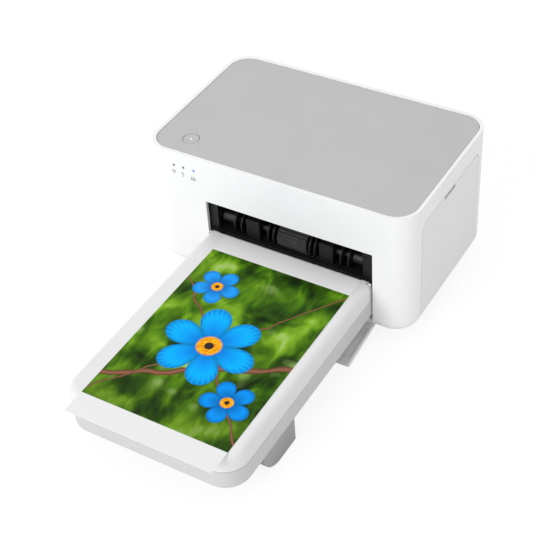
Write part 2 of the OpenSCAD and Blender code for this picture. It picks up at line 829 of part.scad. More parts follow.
module ribbon_film() {
  y0 = takeup_c[0] + 1;
  y1 = supply_c[0] - 1;
  z = platen_c[1] + platen_r + 0.3;
  placed() color([0.15, 0.1, 0.2]) along_x(cart_x0 + end_t, cart_x1 - end_t)
    polygon([[y0, z + 3.2], [57.5, z], [70.5, z], [y1, z + 1.7],
      [y1, z + 1.7 + film_t], [70.5, z + film_t], [57.5, z + film_t],
      [y0, z + 3.2 + film_t]]);
}

module head_arm() {
  placed() color([0.65, 0.66, 0.68]) difference() {
    union() {
      box(-36, 56, 52, head_c[0], head_c[1] - 1, head_c[1] + 1);
      rod_x(head_c, 4, -36, 56);
    }
    rod_x(head_c, head_pivot_r + run, -37, 57);
  }
}

module heat_sink() {
  placed() color([0.75, 0.76, 0.78]) {
    box(-36, 56, 54, 74, 53, 58);
    for (y = [54:3.6:73]) box(-36, 56, y, y + 1.4, 57.5, head_c[1] - 1);
  }
}

module thermal_head() {
  placed() color([0.85, 0.83, 0.75]) box(-41, 61.5, 60, 68, 51, 53);
}

module head_pivot() {
  placed() color([0.7, 0.7, 0.72]) rod_x(head_c, head_pivot_r, lp_x0, rp_x1);
}

module guide_bar() {
  placed() color([0.05, 0.05, 0.05]) box(lp_x1, rp_x0, 21.5, 25, 52, 57);
}

// Blocks that hang from the guide bar between the pairs of discs, clear of the shaft.
module guide_shoes() {
  placed() color([0.05, 0.05, 0.05]) for (x = [-24, 31]) difference() {
    box(x, x + 10, 5, 21.5, deck_z + deck_t, 57);
    rod_x(pickup_c, pickup_shaft_r + 1, x - 1, x + 11);
    box(x - 1, x + 11, 4, 9, 50, 58);
  }
}

// Plate over the paper's path inside the mouth, with slots for the discs and the roller.
module inner_deck() {
  y0 = pickup_c[0] - slot_half;
  y1 = pickup_c[0] + slot_half;
  placed() color([0.05, 0.05, 0.05]) difference() {
    union() {
      box(lp_x1, rp_x0, 5, 26.5, deck_z, deck_z + deck_t);
      box(mouth_x0 + fit_gap, mouth_x1 - fit_gap, 2.3, 5.5, deck_z, deck_z + deck_t);
    }
    for (x = disc_x) {
      box(x - disc_t / 2 - 0.4, x + disc_t / 2 + 0.4, y0, y1, deck_z - 1, deck_z + 3);
    }
    box(-0.5, 22.2, y0, y1, deck_z - 1, deck_z + 3);
  }
}

module guide_springs() {
  w = 1.6;
  placed() color([0.8, 0.8, 0.82]) for (i = [0:2:6]) {
    x = (disc_x[i] + disc_x[i + 1]) / 2;
    along_x(x - w / 2, x + w / 2)
      polygon([[21.5, 56], [21.1, 56], [21.1, 52.4], [17, 46.6], [17.4, 46.4], [21.5, 52]]);
  }
}

module paper_guide() {
  placed() color([0.07, 0.07, 0.07]) along_x(lp_x1, rp_x0)
    polygon([[27, 34], [28, 32.6], [55, 46.6], [55, 48.6]]);
}

module main_board() {
  placed() color([0.1, 0.35, 0.2]) {
    box(board_x, board_x + board_t, 30, plate_y1 - 4, 12, 80);
    box(board_x + 1.5, board_x + 6, 50, 66, 40, 54);
    box(board_x + 1.5, board_x + 8, 74, 84, 20, 46);
    for (y = [40, 52, 64]) rod_x([y, 24], 4, board_x + 1.5, plane_b0 - 9);
  }
}

module key_board() {
  placed() color([0.1, 0.35, 0.2]) {
    box(-88, -59.5, 8, 32, key_board_z, key_board_z + board_t);
    translate([key_c[0], key_c[1], key_board_z + board_t - 0.2]) cylinder(r = 1.6, h = 1.4);
  }
}

module power_key() {
  z1 = panel_z + panel_t;
  fl = panel_z - 0.3 - key_flange_t;
  placed() color([0.7, 0.7, 0.7]) translate([key_c[0], key_c[1], 0]) {
    translate([0, 0, fl + 0.5]) cylinder(r = key_r, h = z1 - fl - 0.5);
    translate([0, 0, fl]) cylinder(r = key_flange_r, h = key_flange_t);
    translate([0, 0, fl - 3.5]) cylinder(r = 1.6, h = 4);
  }
}

module key_spring() {
  placed() color([0.7, 0.7, 0.72]) coil(key_c[0], key_c[1], key_board_z + board_t,
    panel_z - 0.3 - key_flange_t, 3.4, 0.6, 4);
}

module indicator_lights() {
  placed() color([0.8, 0.85, 0.8]) {
    for (i = [0, 1]) rod_y(lamp_x[i], lamp_z, lamp_r, 0, 6);
    box(lamp_x[0] - 1.5, lamp_x[1] + 1.5, 5.5, 8, lamp_z - 1.5, lamp_z + 1.5);
  }
}

module status_light() {
  placed() color([0.2, 0.4, 0.9]) {
    rod_y(lamp_x[2], lamp_z, lamp_r, 0, 6);
    box(lamp_x[2] - 1.5, lamp_x[2] + 1.5, 5.5, 8, lamp_z - 1.5, lamp_z + 1.5);
  }
}

casing();
top_panel();
front_liner();
rear_cover();
power_inlet();
rubber_feet();
side_door();
door_latch();
door_pins();
front_flap();
flap_pins();
left_plate();
right_plate();
cross_bars();
chassis_screws();
cassette_base();
cassette_lid();
lid_pins();
lift_plate();
paper_stack();
lift_springs();
cassette_foot();
print_sheet();
pickup_shaft();
pickup_discs();
pickup_roller();
pickup_gear();
idler_axle();
idler_gear();
platen_shaft();
platen_roller();
platen_gear();
motor_body();
motor_pinion();
takeup_gear();
takeup_spool();
supply_spool();
cartridge_shell();
ribbon_film();
head_arm();
heat_sink();
thermal_head();
head_pivot();
guide_bar();
guide_springs();
paper_guide();
main_board();
key_board();
power_key();
key_spring();
indicator_lights();
status_light();
inner_deck();
guide_shoes();
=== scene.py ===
"""Looks of a compact photo printer, laid out as a Blender add-on that also runs as a script."""

import json
import math

import bmesh
import bpy
import numpy as np
from bpy.props import FloatProperty, IntProperty, PointerProperty
from mathutils import Matrix, Vector


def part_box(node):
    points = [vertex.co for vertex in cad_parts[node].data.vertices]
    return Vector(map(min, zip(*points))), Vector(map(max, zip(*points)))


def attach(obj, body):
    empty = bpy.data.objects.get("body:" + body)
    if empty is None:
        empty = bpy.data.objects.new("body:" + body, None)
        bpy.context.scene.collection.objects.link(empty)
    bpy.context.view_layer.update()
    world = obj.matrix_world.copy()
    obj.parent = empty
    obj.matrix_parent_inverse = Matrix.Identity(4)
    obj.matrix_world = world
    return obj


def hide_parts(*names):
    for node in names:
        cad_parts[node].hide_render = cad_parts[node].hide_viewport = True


bl_info = {
    "name": "Compact photo printer",
    "version": (1, 0, 0),
    "blender": (4, 5, 0),
    "location": "3D View > Sidebar > Printer",
    "description": "Dresses the packed frame of a compact photo printer and sets its stage",
    "category": "Object",
}

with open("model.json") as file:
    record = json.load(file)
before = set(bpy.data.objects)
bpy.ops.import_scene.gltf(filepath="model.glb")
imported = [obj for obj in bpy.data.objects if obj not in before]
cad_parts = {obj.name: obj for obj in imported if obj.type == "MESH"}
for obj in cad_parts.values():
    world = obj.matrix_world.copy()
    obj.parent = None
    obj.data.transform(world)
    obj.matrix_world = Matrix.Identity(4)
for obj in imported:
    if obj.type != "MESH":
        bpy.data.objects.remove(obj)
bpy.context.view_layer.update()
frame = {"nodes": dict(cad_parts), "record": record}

MM = 0.001
Y0 = 27.55 * MM  # the body's front face, in the row frame
DATUM = 11 * MM  # height of the casing's datum above the floor
PICKUP = (12 * MM + Y0, 42 * MM + DATUM)  # y and z of the pick-up shaft

# Places in mm, y counted from the body's front face.
DISC_X = (-32.4, -27.3, -7.0, -2.9, 24.3, 28.0, 47.0, 52.6)
DISC_R, BORE_R = 8.5, 3
ROLLER_X = (0.0, 21.7)
COIL_X, COIL_Y = (-20, 41), 5
KEY_X, KEY_Y = -71, 18.3
FEET_X, FEET_Y = (-75, 75), (18, 106)
PICTURE_Y = (-162.5, -16.5)
PICTURE_RATIO = 1.437  # length of the picture by its width

# Camera fitted to the photograph: angles in degrees, distance in mm, the last line in pixels.
AZIMUTH, ELEVATION, ROLL = 32.95, 40.44, -4.09
TARGET = (-2.33 * MM, Y0, 28.1 * MM + DATUM)
DISTANCE = 858.51
IMAGE_PX, FOCAL_PX, CENTRE_PX = 533, 1297.01, (272.0, 258.0)


# ---------------------------------------------------------------- meshes

def new_object(name, verts, faces, material, smooth=40.0):
    """A mesh object from vertex and face lists, its doubles joined and normals outward."""
    mesh = bpy.data.meshes.new(name)
    mesh.from_pydata([tuple(v) for v in verts], [], [tuple(f) for f in faces])
    bm = bmesh.new()
    bm.from_mesh(mesh)
    bmesh.ops.remove_doubles(bm, verts=bm.verts, dist=1e-7)
    bmesh.ops.dissolve_degenerate(bm, edges=bm.edges, dist=1e-8)
    bmesh.ops.recalc_face_normals(bm, faces=bm.faces)
    bm.to_mesh(mesh)
    bm.free()
    mesh.polygons.foreach_set("use_smooth", [True] * len(mesh.polygons))
    mesh.set_sharp_from_angle(angle=math.radians(smooth))
    mesh.materials.append(material)
    obj = bpy.data.objects.new(name, mesh)
    bpy.context.scene.collection.objects.link(obj)
    return obj


def grid_faces(m, n, close_m, close_n):
    """Quads over an m by n grid of vertices, closed along either way if asked."""
    rows = np.arange(m if close_m else m - 1)
    cols = np.arange(n if close_n else n - 1)
    i, j = (a.ravel() for a in np.meshgrid(rows, cols, indexing="ij"))
    k, l = (i + 1) % m, (j + 1) % n
    return np.stack([i * n + j, i * n + l, k * n + l, k * n + j], axis=1)


def frame_of(axis):
    """Unit vectors (along, across, up) for an axis letter."""
    return {
        "X": (Vector((1, 0, 0)), Vector((0, 1, 0)), Vector((0, 0, 1))),
        "Y": (Vector((0, 1, 0)), Vector((0, 0, 1)), Vector((1, 0, 0))),
        "Z": (Vector((0, 0, 1)), Vector((1, 0, 0)), Vector((0, 1, 0))),
    }[axis]


def revolve(profile, axis, centre, turns=64, closed=True):
    """Surface of revolution of the profile (a, r) about an axis through C.

    P(s, t) = C + a(s) A + r(s) (cos t B + sin t D)."""
    a_dir, b_dir, d_dir = (np.array(v) for v in frame_of(axis))
    pro = np.array(profile, dtype=float)
    t = np.linspace(0, 2 * math.pi, turns, endpoint=False)
    ring = np.cos(t)[:, None] * b_dir + np.sin(t)[:, None] * d_dir
    pts = (np.array(centre) + pro[:, 0, None, None] * a_dir
           + pro[:, 1, None, None] * ring[None, :, :])
    return pts.reshape(-1, 3), grid_faces(len(pro), turns, closed, True)


def joined(parts):
    """One vertex list and one face list from several (verts, faces) pairs."""
    verts, faces, start = [], [], 0
    for v, f in parts:
        verts.extend(v.tolist())
        faces.extend([[int(i) + start for i in q] for q in f])
        start += len(v)
    return verts, faces


def rounded(a0, a1, r0, r1, e, steps=4):
    """Profile of a ring from a0 to a1 and r0 to r1, its two outer edges rounded by e."""
    arc = np.linspace(0, math.pi / 2, steps + 1)
    left = [(a0 + e - e * math.cos(q), r1 - e + e * math.sin(q)) for q in arc]
    right = [(a1 - e + e * math.sin(q), r1 - e + e * math.cos(q)) for q in arc]
    return [(a0, r0)] + left + right + [(a1, r0)]


def helix(centre, z0, z1, radius, wire, turns, steps=28, sides=10):
    """Coil spring: C(t) = (R cos wt, R sin wt, z(t)) swept by a circle of radius wire.

    z(t) rises from z0 + wire to z1 - wire and is flat over the first and last 0.8 turn."""
    t = np.linspace(0, 1, int(steps * turns) + 1)
    w = 2 * math.pi * turns
    flat = 0.8 / turns
    s = np.clip((t - flat) / (1 - 2 * flat), 0, 1)
    z = z0 + wire + (z1 - z0 - 2 * wire) * s
    path = np.stack([centre[0] + radius * np.cos(w * t), centre[1] + radius * np.sin(w * t), z], 1)
    out = np.stack([np.cos(w * t), np.sin(w * t), np.zeros_like(t)], 1)
    up = np.array([0.0, 0.0, 1.0])
    q = np.linspace(0, 2 * math.pi, sides, endpoint=False)
    pts = (path[:, None, :] + wire * np.cos(q)[None, :, None] * out[:, None, :]
           + wire * np.sin(q)[None, :, None] * up)
    verts = pts.reshape(-1, 3)
    faces = [list(f) for f in grid_faces(len(t), sides, False, True)]
    n = len(verts)
    faces.append(list(range(sides))[::-1])
    faces.append(list(range(n - sides, n)))
    return verts, faces


def flat_marks(outlines, origin, u_dir, v_dir, height):
    """Raised flat marks: each outline, in mm on the u-v plane, lifted by height along u x v."""
    u, v = np.array(u_dir, float), np.array(v_dir, float)
    n = np.cross(u, v)
    parts = []
    for line in outlines:
        pts = np.array(line, float) * MM
        base = np.array(origin) + pts[:, :1] * u + pts[:, 1:] * v
        verts = np.concatenate([base, base + height * n])
        k = len(pts)
        faces = [[i, (i + 1) % k, k + (i + 1) % k, k + i] for i in range(k)]
        faces.append(list(range(k, 2 * k)))
        faces.append(list(range(k))[::-1])
        parts.append((verts, faces))
    return joined(parts)


def arc_band(cx, cy, r, w, a0, a1, steps=12):
    """Outline of a curved stroke of width w along an arc, angles in degrees."""
    q = np.radians(np.linspace(a0, a1, steps))
    outer = [(cx + (r + w / 2) * math.cos(a), cy + (r + w / 2) * math.sin(a)) for a in q]
    inner = [(cx + (r - w / 2) * math.cos(a), cy + (r - w / 2) * math.sin(a)) for a in q[::-1]]
    return outer + inner


def disc_2d(cx, cy, r, n=20):
    """Outline of a round dot."""
    q = np.linspace(0, 2 * math.pi, n, endpoint=False)
    return [(cx + r * math.cos(a), cy + r * math.sin(a)) for a in q]


def bar_2d(x0, y0, x1, y1, w):
    """Outline of a straight stroke of width w from one point to another."""
    d = np.array([x1 - x0, y1 - y0], float)
    n = np.array([-d[1], d[0]]) / np.linalg.norm(d) * w / 2
    a, b = np.array([x0, y0]), np.array([x1, y1])
    return [tuple(a - n), tuple(b - n), tuple(b + n), tuple(a + n)]


def add_piece(obj, body, slot, *nodes):
    """Puts a piece on its body and hides the nodes that it stands for; slot is not used."""
    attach(obj, body)
    if nodes:
        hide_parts(*nodes)
    return obj


# ---------------------------------------------------------------- materials

class Graph:
    """A material's node tree with short calls for adding and linking nodes."""

    def __init__(self, name):
        self.mat = bpy.data.materials.new(name)
        self.mat.use_nodes = True
        self.tree = self.mat.node_tree
        self.tree.nodes.clear()
        self.out = self.tree.nodes.new("ShaderNodeOutputMaterial")
        self.bsdf = self.tree.nodes.new("ShaderNodeBsdfPrincipled")
        self.tree.links.new(self.bsdf.outputs[0], self.out.inputs[0])
        self.pos = self.add("ShaderNodeTexCoord").outputs["Object"]

    def add(self, kind, **values):
        node = self.tree.nodes.new(kind)
        for key, value in values.items():
            setattr(node, key, value)
        return node

    def put(self, socket, value):
        if isinstance(value, bpy.types.NodeSocket):
            self.tree.links.new(value, socket)
        else:
            socket.default_value = value

    def math(self, op, a, b=0.0, c=0.0):
        node = self.add("ShaderNodeMath", operation=op)
        for socket, value in zip(node.inputs, (a, b, c)):
            self.put(socket, value)
        return node.outputs[0]

    def noise(self, scale, detail=2.0, rough=0.5, vector=None, distort=0.0):
        node = self.add("ShaderNodeTexNoise")
        self.put(node.inputs["Vector"], vector or self.pos)
        node.inputs["Scale"].default_value = scale
        node.inputs["Detail"].default_value = detail
        node.inputs["Roughness"].default_value = rough
        node.inputs["Distortion"].default_value = distort
        return node.outputs["Fac"]

    def remap(self, value, a0, a1, b0, b1):
        node = self.add("ShaderNodeMapRange")
        for socket, v in zip(node.inputs, (value, a0, a1, b0, b1)):
            self.put(socket, v)
        return node.outputs[0]

    def mix(self, fac, a, b):
        node = self.add("ShaderNodeMix", data_type="RGBA")
        self.put(node.inputs["Factor"], fac)
        self.put(node.inputs["A"], tuple(a) + (1,) if isinstance(a, (tuple, list)) else a)
        self.put(node.inputs["B"], tuple(b) + (1,) if isinstance(b, (tuple, list)) else b)
        return node.outputs["Result"]

    def ramp(self, fac, stops):
        node = self.add("ShaderNodeValToRGB")
        self.put(node.inputs[0], fac)
        el = node.color_ramp.elements
        while len(el) < len(stops):
            el.new(0.5)
        for e, (p, c) in zip(el, stops):
            e.position = p
            e.color = tuple(c) + (1,)
        return node.outputs["Color"]

    def stretch(self, x, y, z):
        node = self.add("ShaderNodeMapping")
        self.put(node.inputs["Vector"], self.pos)
        node.inputs["Scale"].default_value = (x, y, z)
        return node.outputs[0]

    def edges(self, radius):
        """Mask that is 1 on sharp edges, and the softened normal."""
        bevel = self.add("ShaderNodeBevel", samples=6)
        bevel.inputs["Radius"].default_value = radius
        flat = self.add("ShaderNodeNewGeometry")
        dot = self.add("ShaderNodeVectorMath", operation="DOT_PRODUCT")
        self.put(dot.inputs[0], bevel.outputs[0])
        self.put(dot.inputs[1], flat.outputs["Normal"])
        return self.remap(dot.outputs["Value"], 0.995, 0.8, 0.0, 1.0), bevel.outputs[0]

    def bump(self, height, strength, distance, normal=None):
        node = self.add("ShaderNodeBump")
        node.inputs["Strength"].default_value = strength
        node.inputs["Distance"].default_value = distance
        self.put(node.inputs["Height"], height)
        if normal is not None:
            self.put(node.inputs["Normal"], normal)
        self.put(self.bsdf.inputs["Normal"], node.outputs[0])

    def set(self, **values):
        for key, value in values.items():
            name = key.replace("_", " ")
            if isinstance(value, (tuple, list)):
                value = tuple(value) + (1,)
            self.put(self.bsdf.inputs[name], value)


def shade(c, k):
    """A colour made lighter or darker by k."""
    return tuple(min(1.0, max(0.0, v * k)) for v in c)


def plastic(name, color, rough=0.42, grain=2600, depth=0.5, soft=0.0005, wear=0.5, spec=0.4):
    """Moulded plastic: fine spark-eroded grain, faint flow variation, polished edges."""
    g = Graph(name)
    flow = g.remap(g.noise(18, 3, 0.6), 0.3, 0.7, 0.0, 1.0)
    base = g.mix(flow, shade(color, 0.975), shade(color, 1.015))
    dust = g.remap(g.noise(900, 4, 0.7), 0.62, 0.8, 0.0, 0.06)
    base = g.mix(dust, base, shade(color, 0.8))
    mask, normal = g.edges(soft)
    base = g.mix(g.math("MULTIPLY", mask, wear * 0.25), base, shade(color, 1.12))
    g.put(g.bsdf.inputs["Base Color"], base)
    r = g.remap(g.noise(160, 3, 0.6), 0.3, 0.7, rough - 0.04, rough + 0.05)
    g.put(g.bsdf.inputs["Roughness"], g.math("SUBTRACT", r, g.math("MULTIPLY", mask, 0.08)))
    g.set(Specular_IOR_Level=spec)
    g.bump(g.noise(grain, 3, 0.6), depth * 0.25, 0.00006, normal)
    return g.mat


def metal(name, color, rough, along="X"):
    """Drawn or ground metal: long fine scratches along X or Z, dull spots, bright edges."""
    g = Graph(name)
    k = {"X": (0.04, 1, 1), "Z": (1, 1, 0.04)}[along]
    lines = g.noise(2700, 4, 0.6, g.stretch(*k))
    spots = g.remap(g.noise(120, 4, 0.6), 0.45, 0.75, 0.0, 1.0)
    base = g.mix(lines, shade(color, 0.82), shade(color, 1.08))
    base = g.mix(g.math("MULTIPLY", spots, 0.25), base, shade(color, 0.7))
    mask, normal = g.edges(0.0003)
    base = g.mix(g.math("MULTIPLY", mask, 0.4), base, shade(color, 1.25))
    g.put(g.bsdf.inputs["Base Color"], base)
    r = g.remap(lines, 0.3, 0.7, rough - 0.08, rough + 0.12)
    g.put(g.bsdf.inputs["Roughness"], g.math("ADD", r, g.math("MULTIPLY", spots, 0.08)))
    g.set(Metallic=1.0)
    g.bump(lines, 0.15, 0.00004, normal)
    return g.mat


def rubber(name, color):
    """Dull rubber: fine pitted surface with paper dust in patches."""
    g = Graph(name)
    dust = g.remap(g.noise(240, 5, 0.7), 0.5, 0.8, 0.0, 0.35)
    mask, normal = g.edges(0.0003)
    base = g.mix(dust, color, shade(color, 2.4))
    base = g.mix(g.math("MULTIPLY", mask, 0.4), base, shade(color, 3.0))
    g.put(g.bsdf.inputs["Base Color"], base)
    g.put(g.bsdf.inputs["Roughness"], g.remap(g.noise(300, 3), 0.3, 0.7, 0.6, 0.85))
    g.bump(g.noise(3500, 3, 0.7), 0.3, 0.0001, normal)
    return g.mat


def paper(name, color):
    """Coated paper seen from its edge and face: fibres and fine sheet lines."""
    g = Graph(name)
    lines = g.noise(5200, 2, 0.6, g.stretch(0.001, 0.001, 1))
    base = g.mix(g.remap(lines, 0.4, 0.6, 0, 1), shade(color, 0.95), shade(color, 1.02))
    g.put(g.bsdf.inputs["Base Color"], base)
    g.put(g.bsdf.inputs["Roughness"], g.remap(g.noise(80, 2), 0.3, 0.7, 0.45, 0.6))
    g.bump(lines, 0.3, 0.00005)
    return g.mat


def board(name):
    """Circuit board: green resist over copper runs, with pads and speckled glass fibre."""
    g = Graph(name)
    cells = g.add("ShaderNodeTexVoronoi", feature="DISTANCE_TO_EDGE", distance="CHEBYCHEV")
    g.put(cells.inputs["Vector"], g.pos)
    cells.inputs["Scale"].default_value = 260
    run = g.remap(cells.outputs["Distance"], 0.04, 0.07, 1.0, 0.0)
    pads = g.add("ShaderNodeTexVoronoi", feature="F1")
    g.put(pads.inputs["Vector"], g.pos)
    pads.inputs["Scale"].default_value = 300
    pad = g.remap(pads.outputs["Distance"], 0.12, 0.16, 1.0, 0.0)
    green = g.mix(g.noise(700, 3), (0.012, 0.09, 0.035), (0.02, 0.14, 0.055))
    base = g.mix(g.math("MULTIPLY", run, 0.7), green, (0.05, 0.28, 0.10))
    base = g.mix(pad, base, (0.55, 0.52, 0.42))
    g.put(g.bsdf.inputs["Base Color"], base)
    g.put(g.bsdf.inputs["Roughness"], g.remap(g.noise(200, 2), 0.3, 0.7, 0.22, 0.4))
    g.put(g.bsdf.inputs["Metallic"], g.math("MULTIPLY", pad, 0.8))
    g.bump(run, 0.3, 0.00005)
    return g.mat


def film(name):
    """Glossy dye film wound tight: colour panels in bands, fine winding lines."""
    g = Graph(name)
    band = g.noise(60, 1, 0.4, g.stretch(0.05, 1, 1))
    base = g.ramp(band, [
        (0.3, (0.03, 0.02, 0.05)), (0.5, (0.10, 0.03, 0.08)), (0.7, (0.04, 0.05, 0.12))])
    g.put(g.bsdf.inputs["Base Color"], base)
    lines = g.noise(2400, 3, 0.6, g.stretch(1, 0.05, 0.05))
    g.put(g.bsdf.inputs["Roughness"], g.remap(lines, 0.3, 0.7, 0.12, 0.24))
    g.bump(lines, 0.2, 0.00003)
    return g.mat


def lamp(name, color, glow):
    """Tinted light guide with a soft glow in its middle."""
    g = Graph(name)
    base = g.mix(g.noise(2200, 2), shade(color, 0.85), shade(color, 1.1))
    g.put(g.bsdf.inputs["Base Color"], base)
    g.put(g.bsdf.inputs["Roughness"], g.remap(g.noise(900, 2), 0.3, 0.7, 0.15, 0.3))
    g.set(Emission_Color=color, Emission_Strength=glow)
    return g.mat


def blossom(g, u, v, base, cu, cv, size, petals, turn, inner, outer):
    """Paints a flat blossom over base: petal edge R (0.45 + 0.55 |cos(n a / 2 + turn)|^0.55)."""
    du = g.math("SUBTRACT", u, cu)
    dv = g.math("MULTIPLY", g.math("SUBTRACT", v, cv), PICTURE_RATIO)
    r = g.math("SQRT", g.math("ADD", g.math("MULTIPLY", du, du), g.math("MULTIPLY", dv, dv)))
    a = g.math("ARCTAN2", dv, du)
    wave = g.math("ABSOLUTE", g.math("COSINE", g.math("MULTIPLY_ADD", a, petals / 2, turn)))
    wave = g.math("POWER", wave, 0.55)
    edge = g.math("MULTIPLY", g.math("MULTIPLY_ADD", wave, 0.55, 0.45), size)
    q = g.math("DIVIDE", r, edge)
    inside = g.remap(q, 1.0, 0.97, 0.0, 1.0)
    streak = g.math("SINE", g.math("MULTIPLY", a, 57.0))
    tone = g.math("MULTIPLY_ADD", streak, 0.05, q)
    col = g.ramp(tone, [
        (0.0, inner), (0.45, outer), (0.78, shade(outer, 1.5)), (1.0, shade(outer, 0.75))])
    fold = g.remap(wave, 0.25, 0.8, 0.45, 1.0)
    dark = g.mix(fold, shade(outer, 0.25), col)
    out = g.mix(inside, base, dark)
    eye = g.remap(g.math("DIVIDE", r, size), 0.26, 0.22, 0.0, 1.0)
    dots = g.remap(g.noise(900, 1), 0.45, 0.6, 0.0, 1.0)
    gold = g.mix(dots, (1.0, 0.48, 0.01), (0.75, 0.20, 0.0))
    out = g.mix(eye, out, gold)
    core = g.remap(g.math("DIVIDE", r, size), 0.10, 0.08, 0.0, 1.0)
    return g.mix(core, out, (0.035, 0.02, 0.02))


def print_paper(name):
    """Photo print: a garden picture of blue blossoms on a brown stem, between white ends."""
    g = Graph(name)
    lo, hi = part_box("print_sheet")
    sep = g.add("ShaderNodeSeparateXYZ")
    g.put(sep.inputs[0], g.pos)
    y0, y1 = (Y0 + y * MM for y in PICTURE_Y)
    u = g.remap(sep.outputs[0], lo[0], hi[0], 0.0, 1.0)
    v = g.remap(sep.outputs[1], y0, y1, 0.0, 1.0)
    soft = g.noise(34, 2.0, 0.5, None, 0.6)
    leaf = g.noise(75, 2.0, 0.55, g.stretch(1.0, 0.45, 1.0), 1.2)
    tone = g.math("ADD", g.math("MULTIPLY", soft, 0.62), g.math("MULTIPLY", leaf, 0.38))
    base = g.ramp(tone, [
        (0.36, (0.006, 0.020, 0.001)), (0.45, (0.028, 0.090, 0.002)), (0.53, (0.090, 0.230, 0.005)),
        (0.61, (0.220, 0.430, 0.020)), (0.74, (0.52, 0.68, 0.26))])
    spot = g.add("ShaderNodeTexVoronoi", feature="SMOOTH_F1")
    g.put(spot.inputs["Vector"], g.pos)
    spot.inputs["Scale"].default_value = 70
    glow = g.math("MULTIPLY", g.remap(spot.outputs["Distance"], 0.30, 0.12, 0.0, 1.0),
                  g.remap(g.noise(22, 1), 0.5, 0.62, 0.0, 0.45))
    base = g.mix(glow, base, (0.46, 0.66, 0.20))
    patchy = g.math("ADD", v, g.math("MULTIPLY", g.noise(26, 2), 0.5))
    shadow = g.remap(patchy, 0.25, 0.62, 0.45, 1.0)
    base = g.mix(shadow, g.mix(0.75, base, (0.01, 0.02, 0.005)), base)
    # A slanting stem and two twigs.
    wob = g.math("MULTIPLY", g.math("SUBTRACT", g.noise(45, 2), 0.5), 0.09)
    for slope, start, thick in ((0.38, 0.12, 0.020), (-0.75, 0.80, 0.009), (0.95, 0.02, 0.008)):
        line = g.math("MULTIPLY_ADD", u, slope, start)
        d = g.math("ABSOLUTE", g.math("SUBTRACT", g.math("ADD", v, wob), line))
        mask = g.remap(d, thick, thick * 0.72, 0.0, 1.0)
        bark = g.mix(g.remap(d, 0.0, thick, 0.0, 1.0), (0.30, 0.13, 0.07), (0.06, 0.02, 0.012))
        base = g.mix(mask, base, bark)
    blue, deep = (0.0, 0.30, 0.86), (0.0, 0.07, 0.42)
    base = blossom(g, u, v, base, 0.80, 0.22, 0.17, 5, 0.9, deep, (0.0, 0.20, 0.62))
    base = blossom(g, u, v, base, 0.22, 0.79, 0.16, 5, 0.2, deep, (0.01, 0.24, 0.70))
    base = blossom(g, u, v, base, 0.46, 0.46, 0.33, 6, 0.5, deep, blue)
    lim = g.math("MULTIPLY", g.remap(v, 0.0, 0.002, 0.0, 1.0), g.remap(v, 1.0, 0.998, 0.0, 1.0))
    fibre = g.noise(1500, 3, 0.6)
    white = g.mix(fibre, (0.75, 0.75, 0.75), (0.81, 0.81, 0.81))
    face = g.remap(sep.outputs[2], hi[2] - 0.00022, hi[2] - 0.00012, 0.0, 1.0)
    g.put(g.bsdf.inputs["Base Color"], g.mix(g.math("MULTIPLY", lim, face), white, base))
    g.put(g.bsdf.inputs["Roughness"], g.remap(g.noise(60, 2), 0.3, 0.7, 0.30, 0.38))
    g.set(Specular_IOR_Level=0.08)
    g.bump(fibre, 0.05, 0.00002)
    return g.mat


def make_materials():
    """The materials by name: the record's slots, the two shades of the printed marks and the
    painted shade of the top's ticks.
    """
    marks = {"rough": 0.5, "grain": 2200, "depth": 0.4, "soft": 0.0001, "wear": 0.2}
    plastics = {
        "casing_plastic": ((0.88, 0.88, 0.885), {"rough": 0.38}),
        "panel_plastic": ((0.50, 0.50, 0.505), {"rough": 0.50, "grain": 3200, "depth": 0.8}),
        "door_plastic": ((0.80, 0.80, 0.80), {}),
        "tray_plastic": ((0.76, 0.76, 0.765), {"rough": 0.40}),
        "base_plastic": ((0.58, 0.58, 0.585), {}),
        "foot_plastic": ((0.36, 0.36, 0.365), {"rough": 0.45}),
        "flap_plastic": ((0.88, 0.88, 0.89), {"soft": 0.0007, "wear": 1.2}),
        "black_plastic": ((0.009, 0.009, 0.010), {
            "rough": 0.40, "grain": 1800, "depth": 1.0, "soft": 0.0003, "wear": 1.5, "spec": 0.25}),
        "gear_plastic": ((0.72, 0.71, 0.66), {
            "rough": 0.35, "grain": 1800, "depth": 0.4, "soft": 0.0002}),
        "mark_grey": ((0.20, 0.20, 0.21), marks),
        "mark_white": ((0.90, 0.90, 0.90), marks),
        # The third mark colour is painted shade, for the dark ticks on the top that stand for the
        # key's outline seam.
        "mark_dim": ((0.36, 0.36, 0.37), marks),
    }
    mats = {name: plastic(name, color, **look) for name, (color, look) in plastics.items()}
    mats.update({
        "film_plastic": film("film_plastic"),
        "paper_stock": paper("paper_stock", (0.86, 0.86, 0.84)),
        "print_stock": print_paper("print_stock"),
        "soft_rubber": rubber("soft_rubber", (0.018, 0.018, 0.018)),
        "plate_steel": metal("plate_steel", (0.05, 0.05, 0.055), 0.45, "Z"),
        "bright_steel": metal("bright_steel", (0.60, 0.61, 0.63), 0.25),
        "sink_alloy": metal("sink_alloy", (0.72, 0.73, 0.75), 0.35),
        "pinion_brass": metal("pinion_brass", (0.72, 0.50, 0.20), 0.28),
        "board_green": board("board_green"),
        "lamp_clear": lamp("lamp_clear", (0.10, 0.12, 0.14), 0.0),
        "lamp_blue": lamp("lamp_blue", (0.05, 0.16, 0.75), 0.6),
    })
    return mats


MATS = {}


# ---------------------------------------------------------------- settings

class PrinterLook(bpy.types.PropertyGroup):
    """Sizes of the fine detail on the printer."""

    edge: FloatProperty(
        name="Edge rounding", description="Rounding of small turned pieces",
        default=0.0004, min=0.0001, max=0.0008, unit="LENGTH")
    mark: FloatProperty(
        name="Mark height", description="How far a printed mark stands proud",
        default=0.00004, min=0.00001, max=0.0002, unit="LENGTH")
    flutes: IntProperty(
        name="Roller flutes", description="Ribs round the middle roller",
        default=20, min=12, max=32)


